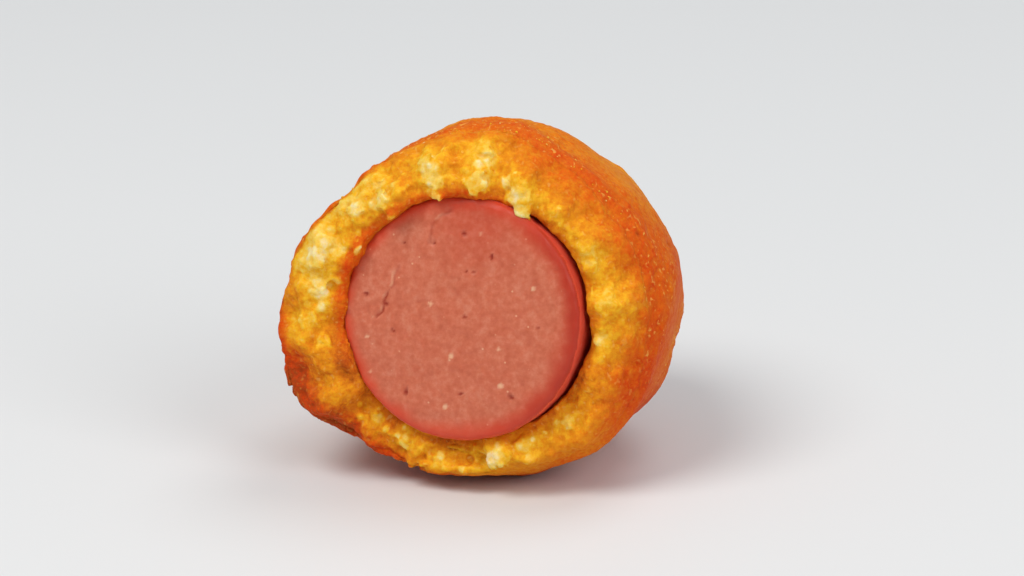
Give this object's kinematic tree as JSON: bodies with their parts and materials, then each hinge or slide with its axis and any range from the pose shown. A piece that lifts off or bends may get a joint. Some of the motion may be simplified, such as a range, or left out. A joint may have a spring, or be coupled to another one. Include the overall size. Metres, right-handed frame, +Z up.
{
  "type": "mini corn dog half",
  "caption": "Half of a small corn dog, pulled apart across its middle: a round pink sausage face in a thick, crumbly cornmeal coat with a golden fried crust, lying on its side.",
  "frame": {"origin": "middle of the small flat spot that the half lies on, at the level of the floor", "axes": "+Z up; the torn end looks towards -Y and a little up; +X to the right for an eye that looks at the torn end"},
  "size_m": [0.0307, 0.0292, 0.029],
  "materials": {
    "batter": "deep-fried cornmeal batter: a golden orange crust with a faint oily sheen, and open yellow crumb with pale lumps where it is torn",
    "sausage": "cooked frankfurter: a moist, finely mottled pink face with a redder casing round its edge"
  },
  "bodies": {
    "root": {"batter": "batter", "sausage": "sausage"}
  },
  "joints": []
}
